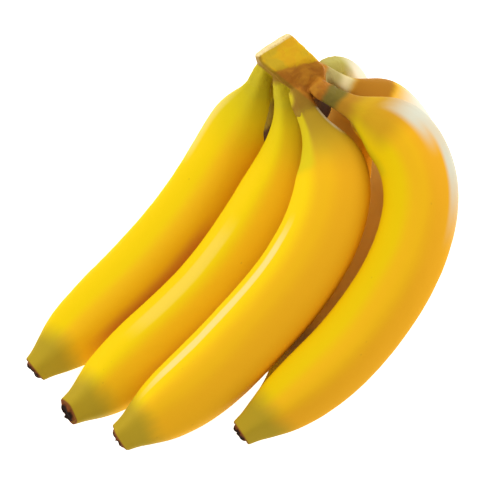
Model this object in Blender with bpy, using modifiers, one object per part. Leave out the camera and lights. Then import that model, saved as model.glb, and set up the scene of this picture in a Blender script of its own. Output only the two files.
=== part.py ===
# Bunch of bananas: six fruits joined by one crown, lying on its side.
# Sizes and spine points are millimetres. Spines are drawn in the plane the bunch lies in,
# x to the right, y up the picture, z towards the viewer above; the empty "bunch" lays it down.
import math

import bpy
import bmesh
from mathutils import Matrix, Vector

MM = 0.001

# Fruit section: a soft pentagon, its ridges standing a little above the flats.
SECTION_POINTS = 20
STATION_STEP = 0.034
RIDGE_HEIGHT = 1.018
FLAT_HEIGHT = 0.955

# Share of the fruit's length against share of its body radius, neck to blossom end.
NECK_START = 0.032
PROFILE = [
    (NECK_START, 0.252), (0.05, 0.262), (0.07, 0.285), (0.10, 0.34), (0.14, 0.48), (0.18, 0.637),
    (0.22, 0.77), (0.26, 0.88), (0.30, 0.945), (0.36, 0.985), (0.43, 1.0),
    (0.50, 1.0), (0.57, 1.0), (0.64, 1.0), (0.70, 0.993), (0.75, 0.983),
    (0.80, 0.95), (0.84, 0.905), (0.88, 0.825), (0.91, 0.735), (0.94, 0.60),
    (0.96, 0.50), (0.975, 0.42), (0.99, 0.36), (1.0, 0.31),
]

# Each fruit: body radius, how much earlier its neck fills out, where its shoulder begins and how
# much sooner that fills out (shares of the length), turn of the ridges in degrees, spine control
# points. 1 to 4 are the upper row from left to right, 5 and 6 lie under it.
FRUITS = {
    "banana_1": (18.6, 0.03, 0.03, 0.07, 20, [(12, 85, -14), (8, 74, -13), (0, 53, -38),
                                              (-18, 21, -48), (-42, -9, -43), (-71, -37, -43),
                                              (-90, -54, -34), (-100, -62, -33)]),
    "banana_2": (18.7, 0.0, 0.09, 0.0, 40, [(19, 79, -4), (21, 67, -4), (25, 37, -15),
                                            (5, 0, -20), (-19, -31, -19), (-50, -57, -18),
                                            (-69, -74, -12), (-82, -81, -6)]),
    "banana_3": (18.8, 0.02, 0.09, 0.06, 42, [(26, 72, 5), (32, 57, 5), (50, 36, 12),
                                              (33, -8, 13), (6, -39, 12), (-23, -70, 11),
                                              (-46, -87, 9), (-58, -94, 8)]),
    "banana_4": (18.0, 0.0, 0.09, 0.09, 12, [(34, 74, 9), (43, 66, 9), (79, 55, 17),
                                             (88, 12, 19), (64, -32, 18), (37, -63, 18),
                                             (12, -81, 19), (0, -89, 20)]),
    "banana_5": (16.8, 0.0, 0.09, 0.15, 30, [(33, 83, -6), (40, 79, -6), (79, 59, -20),
                                             (81, 36, -23), (72, -9, -20), (46, -43, -18),
                                             (25, -63, -14), (13, -75, -12)]),
    "banana_6": (17.2, 0.02, 0.09, 0.0, 0, [(37, 81, -14), (51, 90, -26), (56, 65, -51),
                                            (50, 23, -47), (31, -15, -44), (9, -48, -38),
                                            (-10, -63, -27), (-22, -66, -18)]),
}

PEEL_COLOURS = {
    "banana_1": (0.84, 0.60, 0.03),
    "banana_2": (0.83, 0.62, 0.04),
    "banana_3": (0.84, 0.50, 0.03),
    "banana_4": (0.84, 0.53, 0.03),
    "banana_5": (0.74, 0.42, 0.04),
    "banana_6": (0.70, 0.50, 0.10),
}

# Crown: outline seen from above, its depth levels, and the plane of the knife cut.
CROWN_OUTLINE = [
    (5.8, 92.5), (22.5, 104), (27, 94), (32.5, 90), (38.5, 85), (40.5, 79), (39.5, 72),
    (33, 67.5), (27, 67), (21.5, 73), (16.5, 77.5), (11, 80), (8.5, 84),
]
CROWN_LEVELS = [(-20, 0.78), (-17, 0.95), (-8, 1.0), (2, 1.0), (11, 0.97), (14.5, 0.80)]
CUT_POINT = (15.0, 92.0, 14.0)
CUT_NORMAL = (-0.46, 0.88, 0.08)
WEB_CENTRE = (35.0, 65.0, -11.0)
WEB_SIZE = (8.0, 8.5, 6.5)
CROWN_VOXEL = 1.2
CROWN_FACES = 2400
JOINT_GAP = 0.3
STUB_REACH = 0.055

# Laid down: tilts of the bunch, and how deep the soft spots it rests on are pressed flat.
TILT_X = 6.3
TILT_Y = 0.9
REST_FLAT_DEPTH = 1.1


def makeCollection(name):
    collection = bpy.data.collections.new(name)
    bpy.context.scene.collection.children.link(collection)
    return collection


def makeMaterial(name, colour, roughness):
    material = bpy.data.materials.new(name)
    material.use_nodes = True
    shader = material.node_tree.nodes["Principled BSDF"]
    shader.inputs["Base Color"].default_value = (*colour, 1.0)
    shader.inputs["Roughness"].default_value = roughness
    shader.inputs["Metallic"].default_value = 0.0
    material.diffuse_color = (*colour, 1.0)
    return material


def applyModifiers(obj):
    bpy.ops.object.select_all(action="DESELECT")
    obj.select_set(True)
    bpy.context.view_layer.objects.active = obj
    for modifier in list(obj.modifiers):
        bpy.ops.object.modifier_apply(modifier=modifier.name)


def ease(start, end, value):
    t = min(1.0, max(0.0, (value - start) / (end - start)))
    return t * t * (3 - 2 * t)


def profileSize(share, early, neck, shoulder):
    # The neck part of the profile is read further along for a fruit that fills out sooner.
    share = (share + early * min(1.0, max(0.0, (0.32 - share) / 0.25))
             + shoulder * ease(neck, neck + 0.13, share) * (1 - ease(0.35, 0.60, share)))
    for i in range(len(PROFILE) - 1):
        if share <= PROFILE[i + 1][0]:
            break
    before = PROFILE[max(i - 1, 0)]
    start = PROFILE[i]
    end = PROFILE[i + 1]
    after = PROFILE[min(i + 2, len(PROFILE) - 1)]
    span = end[0] - start[0]
    slopeIn = (end[1] - before[1]) / (end[0] - before[0]) * span
    slopeOut = (after[1] - start[1]) / (after[0] - start[0]) * span
    t = min(1.0, max(0.0, (share - start[0]) / span))
    return ((2 * t ** 3 - 3 * t ** 2 + 1) * start[1] + (t ** 3 - 2 * t ** 2 + t) * slopeIn
            + (3 * t ** 2 - 2 * t ** 3) * end[1] + (t ** 3 - t ** 2) * slopeOut)


def fruitShares():
    shares = []
    for (start, low), (end, high) in zip(PROFILE, PROFILE[1:]):
        steps = max(1, math.ceil((end - start) / STATION_STEP))
        shares += [start + (end - start) * step / steps for step in range(steps)]
    return shares + [PROFILE[-1][0]]


def makeSpine(name, points, collection):
    curve = bpy.data.curves.new(name, "CURVE")
    curve.dimensions = "3D"
    curve.twist_mode = "Z_UP"
    curve.resolution_u = 32
    curve.use_deform_bounds = False
    spline = curve.splines.new("NURBS")
    spline.points.add(len(points) - 1)
    for point, (x, y, z) in zip(spline.points, points):
        point.co = (x * MM, y * MM, z * MM, 1.0)
    spline.order_u = 4
    spline.use_endpoint_u = True
    obj = bpy.data.objects.new(name, curve)
    collection.objects.link(obj)
    return obj


def spineLength(obj):
    mesh = obj.to_mesh()
    length = sum((mesh.vertices[e.vertices[0]].co - mesh.vertices[e.vertices[1]].co).length
                 for e in mesh.edges)
    obj.to_mesh_clear()
    return length


def sectionPoint(turn, radius):
    wave = 0.5 + 0.5 * math.cos(5 * turn)
    reach = radius * (FLAT_HEIGHT + (RIDGE_HEIGHT - FLAT_HEIGHT) * wave)
    return reach * math.cos(turn), reach * math.sin(turn)


def closeStart(bm):
    # extruding one face leaves a hole where it started
    edges = [edge for edge in bm.edges if edge.is_boundary]
    bmesh.ops.holes_fill(bm, edges=edges, sides=0)


def makeTube(name, stations, turned, collection):
    # A pentagonal section extruded along X through (distance, radius) stations.
    bm = bmesh.new()
    bmesh.ops.create_circle(bm, cap_ends=True, segments=SECTION_POINTS, radius=1.0)
    bm.faces.ensure_lookup_table()
    face = bm.faces[0]
    angles = {}
    for vert in face.verts:
        angles[vert] = math.atan2(vert.co.y, vert.co.x)
    first, radius = stations[0]
    for vert, angle in angles.items():
        side, up = sectionPoint(angle, radius)
        vert.co = (first, side, up)
    for distance, radius in stations[1:]:
        order = [angles[vert] for vert in face.verts]
        face = bmesh.ops.extrude_discrete_faces(bm, faces=[face])["faces"][0]
        for loop, angle in zip(face.verts, order):
            angles[loop] = angle
            side, up = sectionPoint(angle, radius)
            loop.co = (distance, side, up)
    closeStart(bm)
    bmesh.ops.rotate(bm, verts=bm.verts, cent=(0, 0, 0),
                     matrix=Matrix.Rotation(math.radians(turned), 3, "X"))
    bmesh.ops.recalc_face_normals(bm, faces=bm.faces)
    mesh = bpy.data.meshes.new(name)
    bm.to_mesh(mesh)
    bm.free()
    obj = bpy.data.objects.new(name, mesh)
    collection.objects.link(obj)
    return obj


def bend(obj, spine):
    modifier = obj.modifiers.new("bend", "CURVE")
    modifier.object = spine
    modifier.deform_axis = "POS_X"
    applyModifiers(obj)


def cleanMesh(obj):
    bm = bmesh.new()
    bm.from_mesh(obj.data)
    bmesh.ops.remove_doubles(bm, verts=bm.verts, dist=0.02 * MM)
    bmesh.ops.dissolve_degenerate(bm, edges=bm.edges, dist=0.02 * MM)
    bmesh.ops.recalc_face_normals(bm, faces=bm.faces)
    bm.to_mesh(obj.data)
    bm.free()
    for polygon in obj.data.polygons:
        polygon.use_smooth = True


def cutWith(obj, cutter):
    modifier = obj.modifiers.new("cut", "BOOLEAN")
    modifier.operation = "DIFFERENCE"
    modifier.solver = "EXACT"
    modifier.object = cutter
    applyModifiers(obj)


def hideHelper(obj):
    obj.hide_render = True
    obj.display_type = "WIRE"


for old in list(bpy.data.objects):
    bpy.data.objects.remove(old, do_unlink=True)

parts = makeCollection("bunch of bananas")
helpers = makeCollection("cutters and spines")

bunch = bpy.data.objects.new("bunch", None)
bunch.rotation_euler = (math.radians(TILT_X), math.radians(TILT_Y), 0.0)
parts.objects.link(bunch)

# Fruits
nodes = []
stubs = []
endPlanes = []
for name, (radius, early, neckEnd, shoulder, turned, points) in FRUITS.items():
    spine = makeSpine(name + "_spine", points, helpers)
    hideHelper(spine)
    bpy.context.view_layer.update()
    length = spineLength(spine)
    stations = [(share * length, radius * profileSize(share, early, neckEnd, shoulder) * MM)
                for share in fruitShares()]
    stations[0] = (stations[0][0] + JOINT_GAP * MM, stations[0][1])
    fruit = makeTube(name, stations, turned, parts)
    bend(fruit, spine)
    fruit.data.materials.append(makeMaterial(name + "_peel", PEEL_COLOURS[name], 0.42))
    nodes.append(fruit)

    # The crown reaches out along the same spine to meet the neck.
    neck = stations[0][1]
    reach = [(0.0, neck * 0.9), (NECK_START * length / 2, neck),
             (NECK_START * length, neck * 1.03), (STUB_REACH * length, neck * 1.04)]
    stub = makeTube(name + "_stub", reach, turned, helpers)
    bend(stub, spine)
    stubs.append(stub)

    # Cutter that ends the crown's reach with a flat face square to the spine.
    cutter = makeTube(name + "_end", [(NECK_START * length, neck + 1.5 * MM), (0.07 * length, neck + 1.5 * MM)],
                      turned, helpers)
    bend(cutter, spine)
    endPlanes.append(cutter)

# Crown
bm = bmesh.new()
verts = [bm.verts.new((x * MM, y * MM, CROWN_LEVELS[0][0] * MM)) for x, y in CROWN_OUTLINE]
face = bm.faces.new(verts)
middle = Vector((sum(x for x, y in CROWN_OUTLINE), sum(y for x, y in CROWN_OUTLINE), 0))
middle *= MM / len(CROWN_OUTLINE)
lastDepth, lastSize = CROWN_LEVELS[0]
for vert in face.verts:
    vert.co.x = middle.x + (vert.co.x - middle.x) * lastSize
    vert.co.y = middle.y + (vert.co.y - middle.y) * lastSize
for depth, size in CROWN_LEVELS[1:]:
    face = bmesh.ops.extrude_discrete_faces(bm, faces=[face])["faces"][0]
    ring = list(face.verts)
    bmesh.ops.translate(bm, verts=ring, vec=(0, 0, (depth - lastDepth) * MM))
    bmesh.ops.scale(bm, verts=ring, vec=(size / lastSize, size / lastSize, 1.0),
                    space=Matrix.Translation((-middle.x, -middle.y, 0)))
    lastDepth, lastSize = depth, size
closeStart(bm)
bmesh.ops.recalc_face_normals(bm, faces=bm.faces)
mesh = bpy.data.meshes.new("crown")
bm.to_mesh(mesh)
bm.free()
crown = bpy.data.objects.new("crown", mesh)
parts.objects.link(crown)
crown.data.materials.append(makeMaterial("crown_stalk", (0.47, 0.24, 0.03), 0.6))

# A web of tissue deep between the necks.
bm = bmesh.new()
bmesh.ops.create_uvsphere(bm, u_segments=16, v_segments=10, radius=MM)
bmesh.ops.scale(bm, verts=bm.verts, vec=WEB_SIZE)
bmesh.ops.translate(bm, verts=bm.verts, vec=Vector(WEB_CENTRE) * MM)
mesh = bpy.data.meshes.new("web")
bm.to_mesh(mesh)
bm.free()
web = bpy.data.objects.new("web", mesh)
helpers.objects.link(web)
stubs.append(web)

for stub in stubs:
    union = crown.modifiers.new("reach", "BOOLEAN")
    union.operation = "UNION"
    union.solver = "EXACT"
    union.object = stub
applyModifiers(crown)

# One grown piece: remeshed and smoothed so the block flows into its six reaches.
grow = crown.modifiers.new("grow", "REMESH")
grow.mode = "VOXEL"
grow.voxel_size = CROWN_VOXEL * MM
soften = crown.modifiers.new("soften", "SMOOTH")
soften.factor = 0.5
soften.iterations = 7
applyModifiers(crown)
thin = crown.modifiers.new("thin", "DECIMATE")
thin.ratio = CROWN_FACES / (2 * len(crown.data.polygons))
applyModifiers(crown)

bm = bmesh.new()
bm.from_mesh(crown.data)
cut = bmesh.ops.bisect_plane(bm, geom=bm.verts[:] + bm.edges[:] + bm.faces[:],
                             plane_co=Vector(CUT_POINT) * MM, plane_no=CUT_NORMAL,
                             clear_outer=True)
rim = [item for item in cut["geom_cut"] if isinstance(item, bmesh.types.BMEdge)]
bmesh.ops.holes_fill(bm, edges=rim, sides=0)
bm.to_mesh(crown.data)
bm.free()
for cutter in endPlanes:
    cutWith(crown, cutter)
    hideHelper(cutter)
for stub in stubs:
    bpy.data.objects.remove(stub, do_unlink=True)
nodes.append(crown)

# Lay the bunch down with the middle of its lower side at the origin.
for node in nodes:
    node.parent = bunch
bpy.context.view_layer.update()
corners = [node.matrix_world @ vert.co for node in nodes for vert in node.data.vertices]
low = Vector([min(corner[axis] for corner in corners) for axis in range(3)])
high = Vector([max(corner[axis] for corner in corners) for axis in range(3)])
bunch.location = (-(low.x + high.x) / 2, -(low.y + high.y) / 2, -low.z - REST_FLAT_DEPTH * MM)
bpy.context.view_layer.update()

# The lowest fruits are pressed flat where they touch the surface.
bm = bmesh.new()
bmesh.ops.create_cube(bm, size=1.0)
bmesh.ops.scale(bm, verts=bm.verts, vec=(0.4, 0.4, 0.02))
bmesh.ops.translate(bm, verts=bm.verts, vec=(0, 0, -0.01))
mesh = bpy.data.meshes.new("rest_cutter")
bm.to_mesh(mesh)
bm.free()
restCutter = bpy.data.objects.new("rest_cutter", mesh)
helpers.objects.link(restCutter)
hideHelper(restCutter)
for node in nodes:
    lowest = min((node.matrix_world @ vert.co).z for vert in node.data.vertices)
    if lowest < 0:
        cutWith(node, restCutter)
    cleanMesh(node)
    print(node.name, len(node.data.polygons), "faces, lowest", round(lowest / MM, 2), "mm")
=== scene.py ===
# A bunch of six ripe bananas lying on a pale table, seen from almost straight above.
import math
import bmesh
import bpy
from mathutils import Euler, Matrix, Vector


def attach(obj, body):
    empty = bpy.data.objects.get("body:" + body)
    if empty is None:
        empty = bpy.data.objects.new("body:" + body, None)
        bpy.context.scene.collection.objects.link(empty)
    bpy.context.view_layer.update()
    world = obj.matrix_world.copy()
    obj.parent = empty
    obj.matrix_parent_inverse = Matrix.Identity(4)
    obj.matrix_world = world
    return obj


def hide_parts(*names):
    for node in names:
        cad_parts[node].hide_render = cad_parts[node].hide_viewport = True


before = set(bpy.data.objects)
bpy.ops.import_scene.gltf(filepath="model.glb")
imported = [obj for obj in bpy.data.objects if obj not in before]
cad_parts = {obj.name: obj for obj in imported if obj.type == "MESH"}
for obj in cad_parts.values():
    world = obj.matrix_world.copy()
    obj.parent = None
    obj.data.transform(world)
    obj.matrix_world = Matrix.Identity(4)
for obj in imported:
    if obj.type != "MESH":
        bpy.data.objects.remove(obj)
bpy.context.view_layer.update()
print("frame loaded with", len(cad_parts), "nodes")

mm = 0.001

# The bunch is drawn flat, x right, y up the picture, z towards the viewer, and then laid down.
bunch = {
    "tilt": (6.3, 0.9, 0.0),                        # degrees
    "place": (0.0012867, -0.0008175, 0.0612554),    # metres, as the next two
    "viewDistance": 1.3,
    "viewWidth": 0.22880,
}
bunchPlace = (Matrix.Translation(bunch["place"])
              @ Euler([math.radians(turn) for turn in bunch["tilt"]]).to_matrix().to_4x4())


def clearSelection():
    if bpy.context.object and bpy.context.object.mode != "OBJECT":
        bpy.ops.object.mode_set(mode="OBJECT")
    bpy.ops.object.select_all(action="DESELECT")


def makeActive(obj):
    clearSelection()
    obj.select_set(True)
    bpy.context.view_layer.objects.active = obj


def applyAll(obj):
    makeActive(obj)
    for modifier in list(obj.modifiers):
        bpy.ops.object.modifier_apply(modifier=modifier.name)


def pickPoints(obj, test):
    # in edit mode, selects the points that pass the test
    mesh = bmesh.from_edit_mesh(obj.data)
    for vert in mesh.verts:
        vert.select = bool(test(vert.co))
    mesh.select_flush_mode()
    mesh.select_flush(True)
    bmesh.update_edit_mesh(obj.data)


def keepStraight(obj, length=1.0):
    # what the materials read: the place before bending and laying down, and the share of the length
    mesh = obj.data
    coords = [0.0] * (3 * len(mesh.vertices))
    mesh.vertices.foreach_get("co", coords)
    straight = mesh.attributes.new("straight", "FLOAT_VECTOR", "POINT")
    straight.data.foreach_set("vector", coords)
    share = mesh.attributes.new("share", "FLOAT", "POINT")
    share.data.foreach_set("value", [x / length for x in coords[0::3]])


def applyPlace():
    bpy.ops.object.transform_apply(location=True, rotation=True, scale=True)


def layDown(obj):
    makeActive(obj)
    obj.matrix_world = bunchPlace @ obj.matrix_world
    applyPlace()


def smoothFaces(obj):
    makeActive(obj)
    bpy.ops.object.shade_smooth()


def addUnevenness(obj, name, size, depth, strength):
    # pushes the surface in and out, the strength in mm
    texture = bpy.data.textures.new(obj.name + "_" + name, "CLOUDS")
    texture.noise_scale = size
    texture.noise_depth = depth
    uneven = obj.modifiers.new(name, "DISPLACE")
    uneven.texture = texture
    uneven.strength = strength * mm
    uneven.mid_level = 0.5


# Each fruit grows along a spine, points in mm.
fruitSpines = {
    "banana_1": [(12, 85, -14), (8, 74, -13), (0, 53, -38), (-18, 21, -48),
                 (-42, -9, -43), (-71, -37, -43), (-90, -54, -34), (-100, -62, -33)],
    "banana_2": [(19, 79, -4), (21, 67, -4), (25, 37, -15), (5, 0, -20),
                 (-19, -31, -19), (-50, -57, -18), (-69, -74, -12), (-82, -81, -6)],
    "banana_3": [(26, 72, 5), (32, 57, 5), (50, 36, 12), (34.4, -8.8, 13),
                 (7.2, -40.1, 12), (-22.2, -70.8, 11), (-46, -86, 9), (-56.5, -92.5, 8)],
    "banana_4": [(34, 74, 9), (43, 66, 9), (79, 55, 17), (88, 12, 19),
                 (65.2, -32.9, 18), (37.3, -63.5, 18), (12, -81, 19), (0, -89, 20)],
    "banana_5": [(33, 83, -6), (40, 79, -6), (79, 59, -20), (81, 36, -23),
                 (72, -9, -20), (46, -43, -18), (25, -63, -14), (13, -75, -12)],
    "banana_6": [(37, 81, -14), (51, 90, -26), (56, 65, -51), (50, 23, -47),
                 (31, -15, -44), (9, -48, -38), (-10, -63, -27), (-22, -66, -18)],
}


def drawSpine(name, points):
    clearSelection()
    bpy.ops.curve.primitive_nurbs_path_add(location=(0, 0, 0))
    spine = bpy.context.object
    spine.name = name + "_spine"
    curve = spine.data
    curve.twist_mode = "Z_UP"
    curve.resolution_u = 32
    curve.use_deform_bounds = False
    curve.use_path = False
    spline = curve.splines[0]
    spline.points.add(len(points) - len(spline.points))
    for point, (x, y, z) in zip(spline.points, points):
        point.co = (x * mm, y * mm, z * mm, 1.0)
    spline.order_u = 4
    spline.use_endpoint_u = True
    bpy.context.view_layer.update()
    line = spine.to_mesh()
    length = sum((line.vertices[e.vertices[0]].co - line.vertices[e.vertices[1]].co).length
                 for e in line.edges)
    spine.to_mesh_clear()
    return spine, length


def bendAlong(obj, spine):
    makeActive(obj)
    bend = obj.modifiers.new("bend", "CURVE")
    bend.object = spine
    bend.deform_axis = "POS_X"
    bpy.ops.object.modifier_apply(modifier="bend")


fruitModel = {
    "sides": 30,            # points round, six to each of the five facets
    "step": 0.021,          # share of the length between rings
    "ridge": 1.024,         # reach at a ridge and on a facet, in radii
    "facet": 0.957,
    "ridgeSharpness": 1.45,
    "neckRidges": 1.5,      # how much stronger the ridges are near the ends
    "tipRidges": 1.7,
    "unevenness": 0.5,      # mm, as the next two
    "dimples": 0.12,
    "raggedRim": 0.32,
    # share of the length, share of the radius
    "profile": [(0.010, 0.235), (0.032, 0.252), (0.05, 0.262), (0.07, 0.285), (0.10, 0.34),
                (0.14, 0.48), (0.18, 0.637), (0.22, 0.77), (0.26, 0.88), (0.30, 0.945),
                (0.36, 0.985), (0.43, 1.0), (0.50, 1.0), (0.57, 1.0), (0.64, 1.0), (0.70, 0.993),
                (0.75, 0.983), (0.80, 0.95), (0.84, 0.905), (0.88, 0.825), (0.91, 0.735),
                (0.94, 0.61), (0.96, 0.52), (0.975, 0.45), (0.99, 0.405), (1.0, 0.38)],
    # blossom end: mm past the end, share of the end's radius
    "blossom": [(0.5, 0.96), (0.7, 0.87), (0.3, 0.80), (0.1, 0.74), (1.0, 0.68),
                (1.9, 0.55), (2.2, 0.34), (1.6, 0.14)],
}

# radius: half its thickness at the middle, in mm
# early: how much sooner the neck fills out, as a share of the length
# neck, shoulder: where the shoulder begins, and how much sooner it fills out
# turned: degrees round its own length
# seed: gives each fruit its own unevenness
fruits = {
    "banana_1": {"radius": 18.6, "early": 0.03, "neck": 0.03, "shoulder": 0.07,
                 "turned": 20, "seed": 1},
    "banana_2": {"radius": 18.7, "early": 0.00, "neck": 0.09, "shoulder": 0.00,
                 "turned": 40, "seed": 2},
    "banana_3": {"radius": 19.2, "early": 0.02, "neck": 0.09, "shoulder": 0.06,
                 "turned": 42, "seed": 3},
    "banana_4": {"radius": 17.7, "early": 0.00, "neck": 0.09, "shoulder": 0.09,
                 "turned": 12, "seed": 4},
    "banana_5": {"radius": 16.8, "early": 0.00, "neck": 0.09, "shoulder": 0.15,
                 "turned": 30, "seed": 5},
    "banana_6": {"radius": 17.2, "early": 0.02, "neck": 0.09, "shoulder": 0.00,
                 "turned": 0, "seed": 6},
}


def limit(value):
    return min(1.0, max(0.0, value))


def ease(start, end, value):
    t = limit((value - start) / (end - start))
    return t * t * (3 - 2 * t)


def profileSize(share, fruit):
    # a smooth curve through the profile's points, read a little further along at neck and shoulder
    table = fruitModel["profile"]
    neck = fruit["neck"]
    early = fruit["early"] * limit((0.32 - share) / 0.25) * min(1.0, share / 0.032)
    fuller = fruit["shoulder"] * ease(neck, neck + 0.13, share) * (1 - ease(0.35, 0.60, share))
    share = share + early + fuller
    for i in range(len(table) - 1):
        if share <= table[i + 1][0]:
            break
    before, start = table[max(i - 1, 0)], table[i]
    end, after = table[i + 1], table[min(i + 2, len(table) - 1)]
    span = end[0] - start[0]
    slopeIn = (end[1] - before[1]) / (end[0] - before[0]) * span
    slopeOut = (after[1] - start[1]) / (after[0] - start[0]) * span
    t = limit((share - start[0]) / span)
    return ((2 * t ** 3 - 3 * t ** 2 + 1) * start[1] + (t ** 3 - 2 * t ** 2 + t) * slopeIn
            + (3 * t ** 2 - 2 * t ** 3) * end[1] + (t ** 3 - t ** 2) * slopeOut)


def ridgeStrength(share):
    neck = max(0.0, 1.0 - share / 0.22)
    tip = max(0.0, (share - 0.82) / 0.18)
    return 1.0 + (fruitModel["neckRidges"] - 1.0) * neck + (fruitModel["tipRidges"] - 1.0) * tip


def sectionReach(offset, strength):
    # offset in degrees from the nearest ridge, 0 to 36
    wave = (0.5 + 0.5 * math.cos(math.radians(5 * offset))) ** fruitModel["ridgeSharpness"]
    low, high = fruitModel["facet"], fruitModel["ridge"]
    middle = 0.5 * (low + high)
    return middle + strength * (low + (high - low) * wave - middle)


def ridgeOffset(co):
    turn = math.degrees(math.atan2(co.z, co.y)) % 72.0
    return min(turn, 72.0 - turn)


def fruitShares():
    table = fruitModel["profile"]
    shares = []
    for (start, low), (end, high) in zip(table, table[1:]):
        steps = max(1, math.ceil((end - start) / fruitModel["step"] - 0.001))
        shares += [start + (end - start) * step / steps for step in range(steps)]
    return shares + [table[-1][0]]


def growTube(name, rings, sides):
    # a ring of points at the neck, pulled out ring by ring along X
    # each ring has a distance, a size and a ridge strength
    clearSelection()
    distance, size, strength = rings[0]
    bpy.ops.mesh.primitive_circle_add(vertices=sides, radius=size, fill_type="NGON",
                                      location=(distance, 0, 0), rotation=(0, math.radians(-90), 0))
    tube = bpy.context.object
    tube.name = name
    applyPlace()
    bpy.ops.object.mode_set(mode="EDIT")
    bpy.ops.mesh.select_mode(type="VERT")
    offsets = sorted({round(ridgeOffset(vert.co), 1) for vert in tube.data.vertices})
    reaches = {offset: 1.0 for offset in offsets}

    def shapeRing(at, strength):
        for offset in offsets:
            reach = sectionReach(offset, strength)
            change = reach / reaches[offset]
            if abs(change - 1.0) < 0.0004:
                continue
            pickPoints(tube, lambda co: abs(co.x - at) < 1e-6
                       and abs(ridgeOffset(co) - offset) < 0.5)
            bpy.ops.transform.resize(value=(1, change, change), center_override=(at, 0, 0))
            reaches[offset] = reach
        pickPoints(tube, lambda co: abs(co.x - at) < 1e-6)

    shapeRing(distance, strength)
    for nextDistance, nextSize, strength in rings[1:]:
        bpy.ops.mesh.extrude_edges_move(
            TRANSFORM_OT_translate={"value": (nextDistance - distance, 0, 0)})
        change = nextSize / size
        bpy.ops.transform.resize(value=(1, change, change), center_override=(nextDistance, 0, 0))
        distance, size = nextDistance, nextSize
        shapeRing(distance, strength)
    return tube


def closeEnd():
    # a face over the last ring, and out of edit mode
    bpy.ops.mesh.edge_face_add()
    bpy.ops.mesh.select_all(action="SELECT")
    bpy.ops.mesh.normals_make_consistent(inside=False)
    bpy.ops.object.mode_set(mode="OBJECT")


def turnAndRefine(tube, turned, levels, kind):
    makeActive(tube)
    tube.rotation_euler.x = math.radians(turned)
    applyPlace()
    fine = tube.modifiers.new("fine", "SUBSURF")
    fine.subdivision_type = kind
    fine.levels = fine.render_levels = levels
    applyAll(tube)


def growFruit(name, fruit):
    spine, length = drawSpine(name, fruitSpines[name])
    radius = fruit["radius"] * mm
    rings = [(share * length, radius * profileSize(share, fruit), ridgeStrength(share))
             for share in fruitShares()]
    tube = growTube(name + "_peel", rings, fruitModel["sides"])

    # blossom end: a ragged rim round a sunken scar with the dry stub in it
    end = rings[-1][0]
    last, lastSize = 0.0, 1.0
    for number, (past, share) in enumerate(fruitModel["blossom"]):
        bpy.ops.mesh.extrude_edges_move(
            TRANSFORM_OT_translate={"value": ((past - last) * mm, 0, 0)})
        bpy.ops.transform.resize(value=(1, share / lastSize, share / lastSize),
                                 center_override=(end, 0, 0))
        last, lastSize = past, share
        if number >= 1:
            bpy.ops.transform.vertex_random(offset=fruitModel["raggedRim"] * mm, uniform=1.0,
                                            normal=0.0, seed=fruit["seed"] * 20 + number)
    closeEnd()
    turnAndRefine(tube, fruit["turned"], 2, "CATMULL_CLARK")

    addUnevenness(tube, "uneven", 0.021 + 0.002 * fruit["seed"], 2, fruitModel["unevenness"])
    addUnevenness(tube, "dimples", 0.0045 + 0.0003 * fruit["seed"], 1, fruitModel["dimples"])
    applyAll(tube)

    keepStraight(tube, length)
    bendAlong(tube, spine)
    layDown(tube)

    # its soft underside is pressed flat where it lies on the table
    bpy.ops.object.mode_set(mode="EDIT")
    pickPoints(tube, lambda co: co.z < 0.0)
    bpy.ops.transform.resize(value=(1, 1, 0), center_override=(0, 0, 0))
    bpy.ops.object.mode_set(mode="OBJECT")
    smoothFaces(tube)
    bpy.data.objects.remove(spine)
    print("grew", name, "length", round(length / mm), "mm,", len(tube.data.polygons), "faces")
    return tube


# The crown is a cut block of stalk that reaches out to the six necks. Places and sizes in mm.
crownModel = {
    "middle": (24, 84, -3),
    "size": (60, 60, 50),
    # point and outward direction of each cut
    "cuts": {
        "knife": ((15, 91.8, 14), (-0.53, 0.84, 0.11)),
        "rightShoulder": ((30.5, 91.0, 0), (0.695, 0.72, 0.05)),
        "right": ((39.9, 78, 0), (0.99, 0.08, 0.08)),
        "lowerRight": ((36.5, 69.8, 0), (0.57, -0.82, 0.10)),
        "bottom": ((30, 66.4, 0), (0.0, -1.0, 0.05)),
        "lowerLeft": ((20.0, 74.4, 0), (-0.63, -0.776, 0.0)),
        "left": ((7.7, 85.0, 0), (-0.96, -0.28, 0.03)),
        "front": ((25, 88, 14.6), (-0.04, 0.10, 1.0)),
        "frontSlope": ((27, 82.9, 14.4), (0.14, -0.50, 0.85)),
        "back": ((24, 84, -19.5), (0.05, 0.10, -1.0)),
        "backFoot": ((24, 72, -17), (0.1, -0.62, -0.78)),
        "backLeft": ((12, 86, -17), (-0.7, -0.1, -0.7)),
        "backRight": ((36, 86, -17), (0.7, 0.1, -0.7)),
    },
    "edgeRound": 0.8,
    "grain": 0.55,         # size of the fused surface's facets
    "softening": 5,        # rounds of smoothing
    "webs": [((35, 65, -11), (8, 8.5, 6.5)), ((12.5, 65, -22), (5, 18, 6))],
    # how far each reach runs along its neck: share of the length, share of the neck's radius
    "reach": [(0.0, 0.90), (0.016, 1.04), (0.032, 1.07), (0.044, 1.045), (0.056, 0.995),
              (0.066, 0.93)],
    "lumps": 1.0,
    "pits": 0.35,
}


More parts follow.
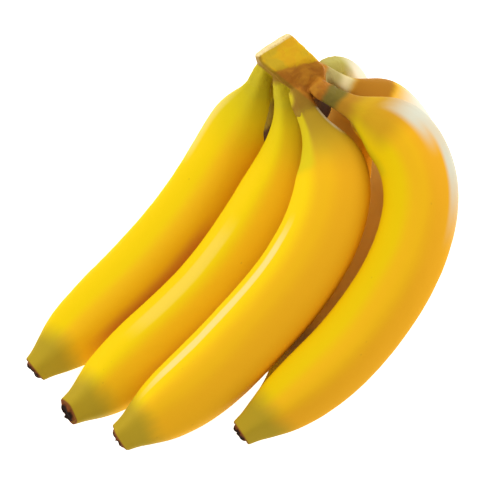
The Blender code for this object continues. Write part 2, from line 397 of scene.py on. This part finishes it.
def carveBlock():
    clearSelection()
    bpy.ops.mesh.primitive_cube_add(size=1.0, location=[v * mm for v in crownModel["middle"]],
                                    scale=[v * mm for v in crownModel["size"]])
    block = bpy.context.object
    block.name = "crown_stalk"
    applyPlace()
    bpy.ops.object.mode_set(mode="EDIT")
    for point, outward in crownModel["cuts"].values():
        bpy.ops.mesh.select_all(action="SELECT")
        bpy.ops.mesh.bisect(plane_co=[v * mm for v in point], plane_no=outward,
                            use_fill=True, clear_outer=True)
    bpy.ops.mesh.select_all(action="SELECT")
    bpy.ops.mesh.bevel(offset=crownModel["edgeRound"] * mm, segments=2, affect="EDGES")
    bpy.ops.mesh.select_all(action="SELECT")
    bpy.ops.mesh.normals_make_consistent(inside=False)
    bpy.ops.object.mode_set(mode="OBJECT")
    return block


def growCrown():
    block = carveBlock()
    reaches = []
    for name, fruit in fruits.items():
        spine, length = drawSpine(name, fruitSpines[name])
        neck = fruit["radius"] * mm
        rings = [(share * length, neck * size * profileSize(max(share, 0.012), fruit),
                  ridgeStrength(share)) for share, size in crownModel["reach"]]
        tube = growTube(name + "_reach", rings, fruitModel["sides"])
        closeEnd()
        turnAndRefine(tube, fruit["turned"], 1, "SIMPLE")
        bendAlong(tube, spine)
        bpy.data.objects.remove(spine)
        reaches.append(tube)
    webs = []
    for place, size in crownModel["webs"]:
        clearSelection()
        bpy.ops.mesh.primitive_uv_sphere_add(segments=24, ring_count=12, radius=mm,
                                             location=[v * mm for v in place], scale=size)
        applyPlace()
        webs.append(bpy.context.object)

    makeActive(block)
    for piece in reaches + webs:
        piece.select_set(True)
    bpy.ops.object.join()
    grow = block.modifiers.new("grow", "REMESH")
    grow.mode = "VOXEL"
    grow.voxel_size = crownModel["grain"] * mm
    soften = block.modifiers.new("soften", "SMOOTH")
    soften.factor = 0.5
    soften.iterations = crownModel["softening"]
    addUnevenness(block, "lumps", 0.007, 3, crownModel["lumps"])
    addUnevenness(block, "pits", 0.0018, 2, crownModel["pits"])
    applyAll(block)
    keepStraight(block)
    layDown(block)
    smoothFaces(block)
    print("grew the crown,", len(block.data.polygons), "faces")
    return block


def addNode(tree, kind, **settings):
    node = tree.nodes.new(kind)
    for name, value in settings.items():
        setattr(node, name, value)
    return node


def plug(tree, socket, value):
    if isinstance(value, bpy.types.NodeSocket):
        tree.links.new(value, socket)
    else:
        socket.default_value = value


def calc(tree, operation, a, b=None, c=None):
    node = addNode(tree, "ShaderNodeMath", operation=operation)
    for socket, value in zip(node.inputs, (a, b, c)):
        if value is not None:
            plug(tree, socket, value)
    return node.outputs[0]


def mask(tree, value, low, high):
    # 0 up to low, 1 from high on; a high below low turns it round
    node = addNode(tree, "ShaderNodeMapRange", interpolation_type="SMOOTHSTEP")
    plug(tree, node.inputs["Value"], value)
    node.inputs["From Min"].default_value = low
    node.inputs["From Max"].default_value = high
    return node.outputs["Result"]


def tinted(tree, colour, tint, area, strength=1.0):
    # the tint laid over the colour where the mask of its area is above 0
    node = addNode(tree, "ShaderNodeMix", data_type="RGBA")
    plug(tree, node.inputs[0], area if strength == 1.0 else calc(tree, "MULTIPLY", area, strength))
    for socket, value in ((node.inputs[6], colour), (node.inputs[7], tint)):
        plug(tree, socket, value if isinstance(value, bpy.types.NodeSocket) else (*value, 1.0))
    return node.outputs[2]


def roughen(tree, value, noise, amount):
    # noise moves the value up and down, so that an edge drawn with it runs unevenly
    return calc(tree, "MULTIPLY_ADD", calc(tree, "SUBTRACT", noise, 0.5), amount, value)


def cloud(tree, vector, scale, detail=3.0, rough=0.5, warp=0.0):
    node = addNode(tree, "ShaderNodeTexNoise")
    plug(tree, node.inputs["Vector"], vector)
    node.inputs["Scale"].default_value = scale
    node.inputs["Detail"].default_value = detail
    node.inputs["Roughness"].default_value = rough
    node.inputs["Distortion"].default_value = warp
    return node.outputs["Fac"]


def stretch(tree, vector, factors):
    node = addNode(tree, "ShaderNodeMapping")
    plug(tree, node.inputs["Vector"], vector)
    node.inputs["Scale"].default_value = factors
    return node.outputs["Vector"]


def planeDistance(tree, vector, plane):
    # distance in mm past a plane, which is given by a point and a direction in the drawing
    point, direction = Vector(plane[0]), Vector(plane[1]).normalized()
    node = addNode(tree, "ShaderNodeVectorMath", operation="DOT_PRODUCT")
    plug(tree, node.inputs[0], vector)
    node.inputs[1].default_value = direction / mm
    return calc(tree, "SUBTRACT", node.outputs["Value"], direction.dot(point))


def placeDistance(tree, vector, place):
    # distance in metres from a place in the drawing, which is given in mm
    node = addNode(tree, "ShaderNodeVectorMath", operation="DISTANCE")
    plug(tree, node.inputs[0], vector)
    node.inputs[1].default_value = Vector(place) * mm
    return node.outputs["Value"]


def startMaterial(name):
    material = bpy.data.materials.new(name)
    material.use_nodes = True
    tree = material.node_tree
    straight = addNode(tree, "ShaderNodeAttribute", attribute_name="straight").outputs["Vector"]
    return material, tree, tree.nodes["Principled BSDF"], straight


def addRelief(tree, shader, height, strength, distance):
    bump = addNode(tree, "ShaderNodeBump")
    bump.inputs["Strength"].default_value = strength
    bump.inputs["Distance"].default_value = distance
    plug(tree, bump.inputs["Height"], height)
    plug(tree, shader.inputs["Normal"], bump.outputs["Normal"])


def newGroup(name, inputs, outputs):
    group = bpy.data.node_groups.new(name, "ShaderNodeTree")
    for label, kind, value in inputs:
        socket = group.interface.new_socket(name=label, in_out="INPUT", socket_type=kind)
        if value is not None:
            socket.default_value = value
    for label, kind in outputs:
        group.interface.new_socket(name=label, in_out="OUTPUT", socket_type=kind)
    return group, group.nodes.new("NodeGroupInput"), group.nodes.new("NodeGroupOutput")


def placeGroup(tree, group, **values):
    node = tree.nodes.new("ShaderNodeGroup")
    node.node_tree = group
    for name, value in values.items():
        plug(tree, node.inputs[name], value)
    return node


# Side of the fruit: 1 where the peel faces the given turn round the fruit, 0 on the far side.
def makeFacingGroup():
    group, given, result = newGroup(
        "which_side", [("Straight", "NodeSocketVector", None), ("Turn", "NodeSocketFloat", 0.0)],
        [("Facing", "NodeSocketFloat")])
    parts = addNode(group, "ShaderNodeSeparateXYZ")
    plug(group, parts.inputs[0], given.outputs["Straight"])
    angle = calc(group, "ARCTAN2", parts.outputs["Z"], parts.outputs["Y"])
    swing = calc(group, "COSINE", calc(group, "SUBTRACT", angle, given.outputs["Turn"]))
    plug(group, result.inputs["Facing"], calc(group, "MULTIPLY_ADD", swing, 0.5, 0.5))
    return group


# Soft blotches, fine specks and the shallow relief of the peel.
def makePeelMarksGroup():
    group, given, result = newGroup(
        "peel_marks", [("Straight", "NodeSocketVector", None), ("Shift", "NodeSocketVector", None)],
        [("Blotches", "NodeSocketFloat"), ("Specks", "NodeSocketFloat"),
         ("Relief", "NodeSocketFloat")])
    moved = addNode(group, "ShaderNodeVectorMath", operation="ADD")
    plug(group, moved.inputs[0], given.outputs["Straight"])
    plug(group, moved.inputs[1], given.outputs["Shift"])
    place = moved.outputs[0]
    long = stretch(group, place, (0.35, 1.0, 1.0))
    plug(group, result.inputs["Blotches"], cloud(group, long, 45.0, 4.0, 0.55, 0.4))
    dots = addNode(group, "ShaderNodeTexVoronoi")
    plug(group, dots.inputs["Vector"], stretch(group, place, (0.7, 1.0, 1.0)))
    dots.inputs["Scale"].default_value = 260.0
    speck = mask(group, dots.outputs["Distance"], 0.16, 0.05)
    few = mask(group, cloud(group, place, 60.0, 2.0), 0.56, 0.68)
    plug(group, result.inputs["Specks"], calc(group, "MULTIPLY", speck, few))
    lines = cloud(group, stretch(group, place, (0.06, 1.0, 1.0)), 900.0, 3.0, 0.6)
    pores = cloud(group, place, 1500.0, 2.0, 0.6)
    relief = calc(group, "MULTIPLY_ADD", lines, 0.6, calc(group, "MULTIPLY", pores, 0.4))
    plug(group, result.inputs["Relief"], relief)
    return group


# Dry fibres that run one way.
def makeFibreGroup():
    group, given, result = newGroup(
        "dry_fibre", [("Vector", "NodeSocketVector", None), ("Fineness", "NodeSocketFloat", 900.0)],
        [("Fibre", "NodeSocketFloat"), ("Patches", "NodeSocketFloat")])
    fine = addNode(group, "ShaderNodeTexNoise")
    plug(group, fine.inputs["Vector"], stretch(group, given.outputs["Vector"], (1.0, 0.10, 1.0)))
    plug(group, fine.inputs["Scale"], given.outputs["Fineness"])
    fine.inputs["Detail"].default_value = 5.0
    fine.inputs["Roughness"].default_value = 0.62
    plug(group, result.inputs["Fibre"], fine.outputs["Fac"])
    patches = cloud(group, given.outputs["Vector"], 130.0, 5.0, 0.6, 0.5)
    plug(group, result.inputs["Patches"], patches)
    return group


facingGroup = makeFacingGroup()
peelMarksGroup = makePeelMarksGroup()
fibreGroup = makeFibreGroup()
print("node groups built")

peelFinish = {
    "yellow": (0.88, 0.60, 0.003),
    # painted shade: golden and orange are the peel as it looks on its side away from the light
    "golden": (0.92, 0.50, 0.011),
    "orange": (0.85, 0.388, 0.014),
    # painted shade: red-brown where two fruits touch
    "creviceShade": (0.72, 0.26, 0.03),
    "lime": (0.68, 0.54, 0.008),
    "tipOlive": (0.45, 0.31, 0.020),
    # painted highlight: pale and white rims where the light grazes the outer sides
    "rimHighlight": (0.66, 0.70, 0.59),
    "whiteRimHighlight": (0.88, 0.87, 0.76),
    # painted highlight: cream lines along lit ridges and edges
    "cream": (0.93, 0.80, 0.48),
    # painted shade: brown where a fruit lies in its neighbours' shadow
    "shadeBrown": (0.42, 0.17, 0.016),
    # painted shade: orange bounced light and deeper shade inside the gaps between fruits
    "innerShade": (0.95, 0.58, 0.150),
    "deepShade": (0.45, 0.29, 0.17),
    "scarRim": (0.22, 0.065, 0.018),
    "scar": (0.022, 0.012, 0.008),
    "speck": (0.42, 0.20, 0.02),
    # how squarely the peel faces its painted shade side where these tints come in
    "goldenFade": (0.50, 0.74),
    "shadeOrangeFade": (0.80, 0.96),
    # shares of the length where these come in
    "limeFull": 0.06,
    "collarFade": (0.078, 0.060),
    "tipFade": (0.885, 0.955),
    "rimFade": (0.9985, 1.003),
    "scarFade": (0.985, 0.992),
    "dryFade": (0.985, 1.0),
    "scarEdge": (0.0056, 0.0044),    # metres from the middle
    "roughness": 0.60,
    "specular": 0.03,
    "relief": (0.10, 0.0003),        # strength and depth
}

# golden: turn round the fruit (degrees, 90 faces up) of its painted shade side, how strong, how
# orange
# lime: share of the length up to which the neck is greener
# collar: colour where it leaves the crown
# neck: colour at the neck, strength, and the shares of the length where it fades
# bands: turn, half width, start, end and fade along the fruit, strength, colour
fruitLooks = {
    "banana_1": {
        "golden": (30, 0.92, 0.10), "lime": 0.26, "collar": (0.58, 0.46, 0.015),
        "neck": ((0.42, 0.33, 0.022), 0.35, 0.05, 0.13),
        "bands": [(172, 26, 0.06, 0.36, 0.08, 0.20, "cream"),
                  (18, 55, 0.40, 0.90, 0.12, 0.85, "creviceShade")]},
    "banana_2": {
        "golden": (30, 0.95, 0.15), "lime": 0.24, "collar": (0.58, 0.46, 0.015),
        "neck": ((0.42, 0.31, 0.022), 0.35, 0.05, 0.13),
        "bands": [(133, 16, 0.36, 0.80, 0.10, 0.12, "cream"),
                  (25, 50, 0.42, 0.87, 0.12, 0.35, "creviceShade")]},
    "banana_3": {
        "golden": (48, 1.0, 0.55), "lime": 0.22, "collar": (0.35, 0.21, 0.017),
        "neck": ((0.42, 0.25, 0.02), 0.9, 0.09, 0.24),
        "bands": [(160, 48, 0.03, 0.22, 0.035, 0.85, "lime"),
                  (8, 40, 0.02, 0.15, 0.03, 0.75, "cream"),
                  (151, 10, 0.32, 0.93, 0.12, 0.42, "cream")]},
    "banana_4": {
        "golden": (36, 1.0, 0.8), "lime": 0.24, "collar": (0.20, 0.15, 0.025),
        "neck": ((0.46, 0.20, 0.02), 0.9, 0.085, 0.14),
        "bands": [(60, 90, 0.09, 0.24, 0.06, 0.5, "shadeBrown"),
                  (180, 40, 0.12, 0.30, 0.04, 0.7, "lime"),
                  (24, 47, 0.14, 0.29, 0.08, 0.85, "rimHighlight"),
                  (13, 32, 0.15, 0.46, 0.18, 0.95, "rimHighlight"),
                  (198, 26, 0.55, 0.90, 0.08, 0.6, "shadeBrown")]},
    "banana_5": {
        "golden": (60, 0.9, 0.3), "lime": 0.08, "collar": (0.50, 0.41, 0.14),
        "neck": ((0.58, 0.48, 0.17), 0.9, 0.09, 0.11),
        "bands": [(70, 50, 0.055, 0.105, 0.025, 0.6, "cream"),
                  (70, 150, 0.088, 0.185, 0.02, 0.95, "shadeBrown"),
                  (34, 52, 0.170, 0.36, 0.07, 0.80, "whiteRimHighlight"),
                  (24, 36, 0.17, 0.54, 0.18, 0.75, "whiteRimHighlight"),
                  (175, 80, 0.22, 1.10, 0.08, 1.0, "innerShade"),
                  (180, 110, 0.78, 1.10, 0.08, 1.0, "deepShade")]},
    "banana_6": {
        "golden": (30, 0.8, 0.3), "lime": 0.08, "collar": (0.48, 0.41, 0.09),
        "neck": ((0.50, 0.44, 0.10), 0.9, 0.08, 0.12),
        "bands": [(50, 74, 0.055, 0.27, 0.06, 0.85, "whiteRimHighlight"),
                  (150, 90, 0.14, 1.10, 0.05, 1.0, "innerShade"),
                  (150, 90, 0.13, 0.46, 0.10, 0.6, "shadeBrown"),
                  (10, 80, 0.62, 1.10, 0.10, 1.0, "shadeBrown")]},
}


def facingSide(tree, straight, turn):
    side = placeGroup(tree, facingGroup, Straight=straight, Turn=math.radians(turn))
    return side.outputs["Facing"]


def peelMaterial(name):
    finish, looks, seed = peelFinish, fruitLooks[name], fruits[name]["seed"]
    material, tree, shader, straight = startMaterial(name + "_peel")
    share = addNode(tree, "ShaderNodeAttribute", attribute_name="share").outputs["Fac"]
    marks = placeGroup(tree, peelMarksGroup, Straight=straight,
                       Shift=(0.31 * seed, 0.17 * seed, 0.07 * seed))
    blotches = marks.outputs["Blotches"]

    # painted shade: the side of the fruit away from the light is painted a deeper gold and orange
    turn, strength, deeper = looks["golden"]
    side = roughen(tree, facingSide(tree, straight, turn), blotches, 0.16)
    colour = tinted(tree, finish["yellow"], finish["golden"],
                    mask(tree, side, *finish["goldenFade"]), strength)
    colour = tinted(tree, colour, finish["orange"], mask(tree, side, *finish["shadeOrangeFade"]), deeper)

    # it is greener towards the neck, and has the crown's colour where it leaves the crown
    along = roughen(tree, share, blotches, 0.05)
    green = mask(tree, along, looks["lime"], finish["limeFull"])
    colour = tinted(tree, colour, finish["lime"], green, 0.85)
    tint, strength, start, end = looks["neck"]
    colour = tinted(tree, colour, tint, mask(tree, along, end, start), strength)
    colour = tinted(tree, colour, looks["collar"], mask(tree, along, *finish["collarFade"]))

    # bands along the fruit: the pale ones are painted highlights, the brown and orange ones painted
    # shade, the lime ones greener peel
    for turn, width, start, end, fade, strength, tint in looks["bands"]:
        edge = 0.5 + 0.5 * math.cos(math.radians(width))
        side = roughen(tree, facingSide(tree, straight, turn), blotches, 0.01)
        band = mask(tree, side, edge, 0.35 * edge + 0.65)
        band = calc(tree, "MULTIPLY", band, mask(tree, along, start, start + fade))
        band = calc(tree, "MULTIPLY", band, mask(tree, along, end, end - fade))
        colour = tinted(tree, colour, finish[tint], band, strength)

    # olive blossom end, specks, a brown rim, and inside it the sunken dark scar
    colour = tinted(tree, colour, finish["tipOlive"], mask(tree, along, *finish["tipFade"]), 0.95)
    colour = tinted(tree, colour, finish["speck"], marks.outputs["Specks"], 0.25)
    colour = tinted(tree, colour, finish["scarRim"], mask(tree, share, *finish["rimFade"]))
    spread = addNode(tree, "ShaderNodeVectorMath", operation="LENGTH")
    plug(tree, spread.inputs[0], stretch(tree, straight, (0.0, 1.0, 1.0)))
    middle = calc(tree, "MULTIPLY_ADD", blotches, 0.001, spread.outputs["Value"])
    scar = calc(tree, "MULTIPLY", mask(tree, middle, *finish["scarEdge"]),
                mask(tree, share, *finish["scarFade"]))
    colour = tinted(tree, colour, finish["scar"], scar)
    plug(tree, shader.inputs["Base Color"], colour)

    rough = calc(tree, "MULTIPLY_ADD", blotches, 0.18, finish["roughness"] - 0.09)
    dry = calc(tree, "MULTIPLY", mask(tree, share, *finish["dryFade"]), 0.75)
    plug(tree, shader.inputs["Roughness"], calc(tree, "MAXIMUM", rough, dry))
    shader.inputs["Specular IOR Level"].default_value = finish["specular"]
    addRelief(tree, shader, marks.outputs["Relief"], *finish["relief"])
    return material


crownFinish = {
    "golden": (0.74, 0.43, 0.010),
    "orange": (0.74, 0.34, 0.012),
    "oliveGold": (0.56, 0.38, 0.02),
    "redBrown": (0.42, 0.15, 0.014),
    "lightBrown": (0.54, 0.22, 0.018),
    "darkBrown": (0.10, 0.05, 0.03),
    "shade": (0.36, 0.24, 0.03),
    "olive": (0.30, 0.17, 0.015),
    "cream": (0.84, 0.66, 0.29),
    "creamStreak": (0.70, 0.50, 0.18),
    "fibreTurn": -27,         # degrees, from the cut down to the necks
    # planes, a point and a direction, past which it changes
    "lowerFaceShade": ((27, 82.7, 0), (0.2527, -0.9675, 0)),
    "webShade": ((16, 70, -8), (-0.25, 0.0, -1.0)),
    "hollowDepth": ((30, 66, -2), (0.0, 0.0, -1.0)),
    "hollowFoot": ((30, 68, 0), (0.6, -0.8, 0.0)),
    # place and size of the stretch that takes a neck's colour
    "neckEnds": {"banana_1": ((9, 76, -16), 12.0), "banana_2": ((20.5, 69, -5), 10.0),
                 "banana_6": ((44, 84, -21), 12.0), "banana_5": ((43, 77, -8), 8.5),
                 "banana_4": ((45, 67, 10), 8.5), "banana_3": ((31, 60, 6), 6.5)},
    # place and size of the yellow ridge on the left of the third neck
    "ridge": ((24.3, 67.5, 5), 5.5),
    "roughness": 0.45,
    "specular": 0.08,
    "relief": (0.5, 0.0006),  # strength and depth
}


def crownMaterial():
    finish, cuts = crownFinish, crownModel["cuts"]
    material, tree, shader, straight = startMaterial("crown_stalk")
    turned = addNode(tree, "ShaderNodeMapping")
    plug(tree, turned.inputs["Vector"], straight)
    turned.inputs["Rotation"].default_value = (0, 0, math.radians(finish["fibreTurn"]))
    fibre = placeGroup(tree, fibreGroup, Vector=turned.outputs["Vector"], Fineness=700.0)
    patches, strands = fibre.outputs["Patches"], fibre.outputs["Fibre"]
    wobble = calc(tree, "MULTIPLY_ADD", patches, 6.0, -3.0)
    small = calc(tree, "MULTIPLY", wobble, 0.4)

    # uneven gold
    colour = tinted(tree, finish["golden"], finish["orange"], mask(tree, patches, 0.45, 0.62), 0.5)
    broad = cloud(tree, straight, 95.0, 3.0, 0.5, 0.6)
    colour = tinted(tree, colour, finish["oliveGold"], mask(tree, broad, 0.50, 0.64), 0.7)
    # painted shade: below the slope's edge the lower face, turned away, is painted red-brown
    lowerFaceShade = calc(tree, "ADD", planeDistance(tree, straight, finish["lowerFaceShade"]), wobble)
    red = tinted(tree, finish["redBrown"], finish["lightBrown"], mask(tree, patches, 0.40, 0.62))
    colour = tinted(tree, colour, red, mask(tree, lowerFaceShade, -0.5, 1.0))
    # its left sides are darker
    rim = calc(tree, "MAXIMUM", planeDistance(tree, straight, cuts["lowerLeft"]),
               planeDistance(tree, straight, cuts["left"]))
    rim = calc(tree, "MULTIPLY_ADD", small, 0.4, rim)
    colour = tinted(tree, colour, finish["olive"], mask(tree, rim, -2.2, -0.7), 0.85)
    # painted shade: the web between the first two necks and the dark hollow behind the third
    web = planeDistance(tree, straight, finish["webShade"])
    colour = tinted(tree, colour, finish["shade"], mask(tree, web, 0.0, 4.0))
    hollow = calc(tree, "MULTIPLY",
                  mask(tree, planeDistance(tree, straight, finish["hollowDepth"]), -1.0, 4.0),
                  mask(tree, planeDistance(tree, straight, finish["hollowFoot"]), -1.0, 1.5))
    colour = tinted(tree, colour, finish["darkBrown"], hollow)
    # it takes the colour of each neck that it reaches
    for name, (end, size) in finish["neckEnds"].items():
        away = calc(tree, "MULTIPLY_ADD", small, mm, placeDistance(tree, straight, end))
        near = mask(tree, away, size * mm, 0.7 * size * mm)
        colour = tinted(tree, colour, fruitLooks[name]["collar"], near)
    end, size = finish["ridge"]
    near = mask(tree, placeDistance(tree, straight, end), size * mm, 0.3 * size * mm)
    colour = tinted(tree, colour, peelFinish["lime"], near, 0.9)
    # the knife cut shows streaked cream flesh, and dark fibres run over all of it
    cream = tinted(tree, finish["cream"], finish["creamStreak"], mask(tree, strands, 0.40, 0.62))
    cut = calc(tree, "MULTIPLY_ADD", small, 0.5, planeDistance(tree, straight, cuts["knife"]))
    colour = tinted(tree, colour, cream, mask(tree, cut, -1.0, -0.3))
    colour = tinted(tree, colour, finish["darkBrown"], mask(tree, strands, 0.56, 0.74), 0.25)
    plug(tree, shader.inputs["Base Color"], colour)

    rough = calc(tree, "MULTIPLY_ADD", strands, 0.3, finish["roughness"])
    plug(tree, shader.inputs["Roughness"], rough)
    shader.inputs["Specular IOR Level"].default_value = finish["specular"]
    height = calc(tree, "MULTIPLY_ADD", patches, 0.5, strands)
    addRelief(tree, shader, height, *finish["relief"])
    return material


# Each piece is grown, painted and put in the place of its solid.
for name, fruit in fruits.items():
    peel = growFruit(name, fruit)
    peel.data.materials.clear()
    peel.data.materials.append(peelMaterial(name))
    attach(peel, "root")
    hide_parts(name)

crown = growCrown()
crown.data.materials.clear()
crown.data.materials.append(crownMaterial())
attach(crown, "root")
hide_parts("crown")
print("bunch dressed")

# Table, light and camera. Places and sizes in metres, powers in watts.
studio = {
    "floor": (0.93, 0.93, 0.93),
    "floorGlow": 0.74,
    "worldLight": 0.64,
    "keyPower": 7.2, "keyPlace": (-0.75, 0.65, 1.0), "keySize": 0.8,
    "rimPower": 3.5, "rimPlace": (1.0, 0.45, 0.45), "rimSize": 0.5,
}

clearSelection()
bpy.ops.mesh.primitive_plane_add(size=6.0, location=(0, 0, 0))
floor = bpy.context.object
floor.name = "table"
floorMaterial = bpy.data.materials.new("table")
floorMaterial.use_nodes = True
floorShader = floorMaterial.node_tree.nodes["Principled BSDF"]
floorShader.inputs["Base Color"].default_value = (*studio["floor"], 1.0)
floorShader.inputs["Roughness"].default_value = 0.9
floorShader.inputs["Emission Color"].default_value = (1.0, 1.0, 1.0, 1.0)
floorShader.inputs["Emission Strength"].default_value = studio["floorGlow"]
floor.data.materials.append(floorMaterial)

world = bpy.data.worlds.new("studio")
bpy.context.scene.world = world
world.use_nodes = True
background = world.node_tree.nodes["Background"]
background.inputs["Color"].default_value = (1.0, 1.0, 1.0, 1.0)
background.inputs["Strength"].default_value = studio["worldLight"]


def addSoftLight(name, place, size, power):
    bpy.ops.object.light_add(type="AREA", location=place)
    light = bpy.context.object
    light.name = name
    light.data.shape = "DISK"
    light.data.size = size
    light.data.energy = power
    light.rotation_euler = (-Vector(place)).to_track_quat("-Z", "Y").to_euler()


addSoftLight("key", studio["keyPlace"], studio["keySize"], studio["keyPower"])
addSoftLight("rim", studio["rimPlace"], studio["rimSize"], studio["rimPower"])

bpy.ops.object.camera_add()
camera = bpy.context.object
camera.name = "camera"
camera.matrix_world = bunchPlace @ Matrix.Translation((0, 0, bunch["viewDistance"]))
camera.data.sensor_width = 36.0
camera.data.lens = camera.data.sensor_width * bunch["viewDistance"] / bunch["viewWidth"]
camera.data.clip_end = 20.0
bpy.context.scene.camera = camera
bpy.context.scene.view_settings.view_transform = "Standard"
print("table, light and camera ready")
